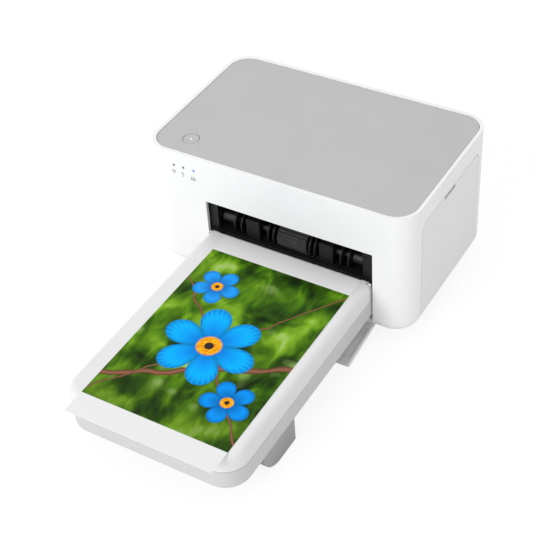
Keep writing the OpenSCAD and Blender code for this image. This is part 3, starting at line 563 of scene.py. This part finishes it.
class PrinterStage(bpy.types.PropertyGroup):
    """Light of the stage."""

    fill: FloatProperty(
        name="Fill", description="Strength of the all-round light",
        default=0.78, min=0.1, max=2.0)
    key: FloatProperty(
        name="Key", description="Power of the front light",
        default=5.2, min=0.5, max=60.0, unit="POWER")


# ---------------------------------------------------------------- operators

class PRINTER_OT_frame(bpy.types.Operator):
    """Gives every node of the frame its material"""

    bl_idname = "printer.dress_frame"
    bl_label = "Dress the frame"

    def execute(self, context):
        MATS.update(make_materials())
        slots = {s["node"]: s["material_slot"] for s in frame["record"]["subparts"]}
        for name, obj in frame["nodes"].items():
            if slots[name] not in MATS:
                raise RuntimeError("no material for slot " + slots[name])
            obj.data.materials.clear()
            obj.data.materials.append(MATS[slots[name]])
        return {"FINISHED"}


class PRINTER_OT_rollers(bpy.types.Operator):
    """Turns the pick-up discs and the fluted middle roller"""

    bl_idname = "printer.rollers"
    bl_label = "Pick-up rollers"

    def execute(self, context):
        look = context.scene.printer_look
        r, bore, e = DISC_R * MM, BORE_R * MM, look.edge
        half = 0.6 * MM
        web = half * 0.45
        outer = rounded(-half, half, bore, r, min(e, half * 0.6))
        hub = [(half, bore), (half, 4.6 * MM), (web, 4.9 * MM), (web, 7.4 * MM), (half, 7.7 * MM)]
        profile = outer[:-1] + hub[::-1]
        parts = [revolve(profile, "X", (x * MM, *PICKUP), 96) for x in DISC_X]
        discs = new_object("pickup_disc_set", *joined(parts), MATS["black_plastic"], 35)
        add_piece(discs, "pickup", "black_plastic", "pickup_discs")
        # Fluted roller: r(t) = R - d (1 - |cos(n t / 2)|^0.5), full length, ends rounded. The
        # profile is drawn at radius 1, and q is how far each point lies below that.
        n = 12 * look.flutes
        t = np.linspace(0, 2 * math.pi, n, endpoint=False)
        wave = np.abs(np.cos(look.flutes * t / 2)) ** 0.5
        prof = np.array(rounded(ROLLER_X[0] * MM, ROLLER_X[1] * MM, bore, 1.0, e, 3))
        prof[1:-1, 1] = prof[1:-1, 1] - 1.0
        pts = []
        for a, q in prof:
            rr = np.full(n, bore) if q > 0 else r - 0.7 * MM * (1 - wave) + q
            ring = [np.full(n, a), PICKUP[0] + rr * np.cos(t), PICKUP[1] + rr * np.sin(t)]
            pts.append(np.stack(ring, 1))
        faces = grid_faces(len(prof), n, True, True)
        roller = new_object("fluted_roller", np.concatenate(pts), faces, MATS["soft_rubber"], 50)
        add_piece(roller, "pickup", "soft_rubber", "pickup_roller")
        return {"FINISHED"}


class PRINTER_OT_springs(bpy.types.Operator):
    """Winds the coil springs"""

    bl_idname = "printer.springs"
    bl_label = "Coil springs"

    def execute(self, context):
        lo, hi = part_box("lift_springs")
        parts = [helix((x * MM, Y0 + COIL_Y * MM), lo[2], hi[2], 4 * MM, 0.5 * MM, 6)
                 for x in COIL_X]
        lift = new_object("lift_coils", *joined(parts), MATS["bright_steel"])
        add_piece(lift, "cassette", "bright_steel", "lift_springs")
        lo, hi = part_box("key_spring")
        coil = helix((KEY_X * MM, Y0 + KEY_Y * MM), lo[2], hi[2], 3.3 * MM, 0.28 * MM, 5)
        key = new_object("key_coil", *coil, MATS["bright_steel"])
        add_piece(key, "chassis", "bright_steel", "key_spring")
        return {"FINISHED"}


class PRINTER_OT_turned(bpy.types.Operator):
    """Turns the rubber feet and the power key"""

    bl_idname = "printer.turned"
    bl_label = "Feet and key"

    def execute(self, context):
        e = context.scene.printer_look.edge
        # Foot: heights and radii in mm, a shallow pan under a rounded edge.
        foot = [(0.3, 0), (0.3, 4.2), (0.0, 4.6), (0.0, 5.2), (0.3, 5.7), (0.9, 6.0),
                (8.0, 6.0), (8.0, 0)]
        foot = [(z * MM, r * MM) for z, r in foot]
        feet = [revolve(foot, "Z", (x * MM, Y0 + y * MM, 0), 48, False)
                for x in FEET_X for y in FEET_Y]
        obj = new_object("foot_pads", *joined(feet), MATS["soft_rubber"])
        add_piece(obj, "chassis", "soft_rubber", "rubber_feet")
        # Key: a shallow dish z = h (r / R)^2 inside a rounded rim, on its flange and stem.
        lo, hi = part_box("power_key")
        top, r, share = hi[2], 5.5 * MM, 0.86
        dish = [(top - 0.25 * MM * (1 - (q / share) ** 2), q * r) for q in np.linspace(0, share, 8)]
        arc = np.linspace(0, math.pi / 2, 5)
        rim = [(top - e + e * math.cos(a), r - e + e * math.sin(a)) for a in arc]
        flange, stem_r = top - 3.8 * MM, 1.6 * MM
        low = [(flange + 1.4 * MM, r), (flange + 1.4 * MM, 7 * MM), (flange, 7 * MM),
               (flange, stem_r), (lo[2], stem_r), (lo[2], 0)]
        v, f = revolve(dish + rim + low, "Z", (KEY_X * MM, Y0 + KEY_Y * MM, 0), 64, False)
        obj = new_object("key_cap", v, f, MATS["panel_plastic"])
        add_piece(obj, "power_key", "panel_plastic", "power_key")
        return {"FINISHED"}


class PRINTER_OT_marks(bpy.types.Operator):
    """Prints the small plain marks on the front and the key, and paints the dark ticks of shade on
    the top
    """

    bl_idname = "printer.marks"
    bl_label = "Marks"

    def execute(self, context):
        h = context.scene.printer_look.mark
        # Front icons, each drawn in mm about its own centre on the front face: a fan of arcs,
        # a ring on a stem and a small comb.
        icons = []
        cx, cz = -74.4, 76.0
        icons.append(disc_2d(cx, cz - 1.2, 0.42))
        for r in (1.4, 2.5):
            icons.append(arc_band(cx, cz - 1.4, r, 0.5, 45, 135))
        cx, cz = -67.4, 75.6
        icons.append(arc_band(cx, cz + 0.6, 0.8, 0.45, -30, 210))
        icons.append(bar_2d(cx, cz + 0.2, cx, cz - 2.0, 0.5))
        cx, cz = -59.4, 75.2
        for dx in (-1.4, 0.0, 1.4):
            icons.append(bar_2d(cx + dx, cz - 1.6, cx + dx, cz + 1.2 - abs(dx) * 0.5, 0.55))
        icons.append(bar_2d(cx - 1.6, cz - 1.6, cx + 1.6, cz - 1.6, 0.45))
        v, f = flat_marks(icons, (0, Y0 + 0.5 * h, DATUM), (1, 0, 0), (0, 0, 1), 1.5 * h)
        obj = new_object("front_icons", v, f, MATS["mark_grey"])
        add_piece(obj, "chassis", "casing_plastic")
        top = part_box("top_panel")[1][2]
        # Dark ticks on the top: painted shade standing in for the seam of the power key's outline,
        # drawn as flat marks.
        shade_ticks = [bar_2d(x - 0.35, y - 1.0, x + 0.35, y + 1.0, 0.55)
                 for x, y in ((-76.6, 11.6), (-63.4, 15.6), (-60.9, 12.0), (-53.3, 18.0))]
        v, f = flat_marks(shade_ticks, (0, Y0, top - 0.5 * h), (1, 0, 0), (0, 1, 0), 1.5 * h)
        obj = new_object("painted_outline_shade", v, f, MATS["mark_dim"])
        add_piece(obj, "chassis", "panel_plastic")
        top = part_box("power_key")[1][2]
        dot = [disc_2d(KEY_X, KEY_Y, 0.9)]
        v, f = flat_marks(dot, (0, Y0, top - 0.26 * MM), (1, 0, 0), (0, 1, 0), 2 * h)
        obj = new_object("key_dot", v, f, MATS["mark_white"])
        add_piece(obj, "power_key", "panel_plastic")
        return {"FINISHED"}


class PRINTER_OT_stage(bpy.types.Operator):
    """Sets the floor, the light and the camera"""

    bl_idname = "printer.stage"
    bl_label = "Stage"

    def execute(self, context):
        scene = context.scene
        s = scene.printer_stage
        scene.view_settings.view_transform = "Standard"
        scene.view_settings.look = "None"
        # Floor: white, with a soft shadow that the camera sees lightly.
        size, below = 6.0, -0.00002
        corners = ((-size, -size), (size, -size), (size, size), (-size, size))
        verts = [(x, y, below) for x, y in corners]
        mesh = bpy.data.meshes.new("floor")
        mesh.from_pydata(verts, [], [(0, 1, 2, 3)])
        floor = bpy.data.objects.new("floor", mesh)
        scene.collection.objects.link(floor)
        mat = bpy.data.materials.new("floor_white")
        mat.use_nodes = True
        tree = mat.node_tree
        tree.nodes.clear()
        out = tree.nodes.new("ShaderNodeOutputMaterial")
        mix = tree.nodes.new("ShaderNodeMixShader")
        diff = tree.nodes.new("ShaderNodeBsdfDiffuse")
        diff.inputs["Color"].default_value = (0.9, 0.9, 0.9, 1)
        glow = tree.nodes.new("ShaderNodeEmission")
        glow.inputs["Color"].default_value = (1, 1, 1, 1)
        glow.inputs["Strength"].default_value = 1.05
        ray = tree.nodes.new("ShaderNodeLightPath")
        fac = tree.nodes.new("ShaderNodeMath")
        fac.operation = "MULTIPLY"
        fac.inputs[1].default_value = 0.82
        tree.links.new(ray.outputs["Is Camera Ray"], fac.inputs[0])
        tree.links.new(fac.outputs[0], mix.inputs[0])
        tree.links.new(diff.outputs[0], mix.inputs[1])
        tree.links.new(glow.outputs[0], mix.inputs[2])
        tree.links.new(mix.outputs[0], out.inputs[0])
        mesh.materials.append(mat)
        world = bpy.data.worlds.new("studio")
        world.use_nodes = True
        back = world.node_tree.nodes["Background"]
        back.inputs["Color"].default_value = (1, 1, 1, 1)
        back.inputs["Strength"].default_value = s.fill
        scene.world = world
        # Lamps: (name, place, target, size, power).
        lamps = (
            ("key_light", (-0.35, -1.5, 1.0), (0, 0, 0.03), 0.9, s.key * 2.6),
            ("top_light", (-0.3, 0.2, 1.7), (0, 0.02, 0.03), 1.0, s.key * 0.5),
        )
        for name, place, target, size, power in lamps:
            data = bpy.data.lights.new(name, "AREA")
            data.size = size
            data.energy = power
            obj = bpy.data.objects.new(name, data)
            obj.location = place
            aim = Vector(target) - Vector(place)
            obj.rotation_euler = aim.to_track_quat("-Z", "Y").to_euler()
            scene.collection.objects.link(obj)
        # The camera looks along -back_v, and its right and up turn about that by the roll.
        az, el, roll = (math.radians(v) for v in (AZIMUTH, ELEVATION, ROLL))
        back_v = Vector((math.sin(az) * math.cos(el), -math.cos(az) * math.cos(el), math.sin(el)))
        r0 = Vector((math.cos(az), math.sin(az), 0))
        u0 = back_v.cross(r0)
        right = math.cos(roll) * r0 + math.sin(roll) * u0
        up = -math.sin(roll) * r0 + math.cos(roll) * u0
        place = Vector(TARGET) + back_v * DISTANCE * MM
        cam = bpy.data.cameras.new("camera")
        cam.sensor_width = 36
        cam.lens = FOCAL_PX * cam.sensor_width / IMAGE_PX
        cam.shift_x = (IMAGE_PX / 2 - CENTRE_PX[0]) / IMAGE_PX
        cam.shift_y = (CENTRE_PX[1] - IMAGE_PX / 2) / IMAGE_PX
        cam.clip_start = 0.01
        obj = bpy.data.objects.new("camera", cam)
        obj.matrix_world = Matrix((
            (right.x, up.x, back_v.x, place.x),
            (right.y, up.y, back_v.y, place.y),
            (right.z, up.z, back_v.z, place.z),
            (0, 0, 0, 1)))
        scene.collection.objects.link(obj)
        scene.camera = obj
        return {"FINISHED"}


class PRINTER_PT_panel(bpy.types.Panel):
    """Printer looks and stage"""

    bl_label = "Photo printer"
    bl_idname = "PRINTER_PT_panel"
    bl_space_type = "VIEW_3D"
    bl_region_type = "UI"
    bl_category = "Printer"

    def draw(self, context):
        look, stage = context.scene.printer_look, context.scene.printer_stage
        for key in ("edge", "mark", "flutes"):
            self.layout.prop(look, key)
        for cls in OPERATORS[:-1]:
            self.layout.operator(cls.bl_idname)
        self.layout.prop(stage, "fill")
        self.layout.prop(stage, "key")
        self.layout.operator(PRINTER_OT_stage.bl_idname)


OPERATORS = (PRINTER_OT_frame, PRINTER_OT_rollers, PRINTER_OT_springs, PRINTER_OT_turned,
             PRINTER_OT_marks, PRINTER_OT_stage)
CLASSES = (PrinterLook, PrinterStage) + OPERATORS + (PRINTER_PT_panel,)


def register():
    """Registers the classes and the scene's settings."""
    for cls in CLASSES:
        bpy.utils.register_class(cls)
    bpy.types.Scene.printer_look = PointerProperty(type=PrinterLook)
    bpy.types.Scene.printer_stage = PointerProperty(type=PrinterStage)


def unregister():
    """Removes the settings and the classes."""
    del bpy.types.Scene.printer_look
    del bpy.types.Scene.printer_stage
    for cls in reversed(CLASSES):
        bpy.utils.unregister_class(cls)


def main():
    """Runs every operator in turn."""
    register()
    for cls in OPERATORS:
        group, name = cls.bl_idname.split(".")
        getattr(getattr(bpy.ops, group), name)()


if __name__ == "__main__":
    main()
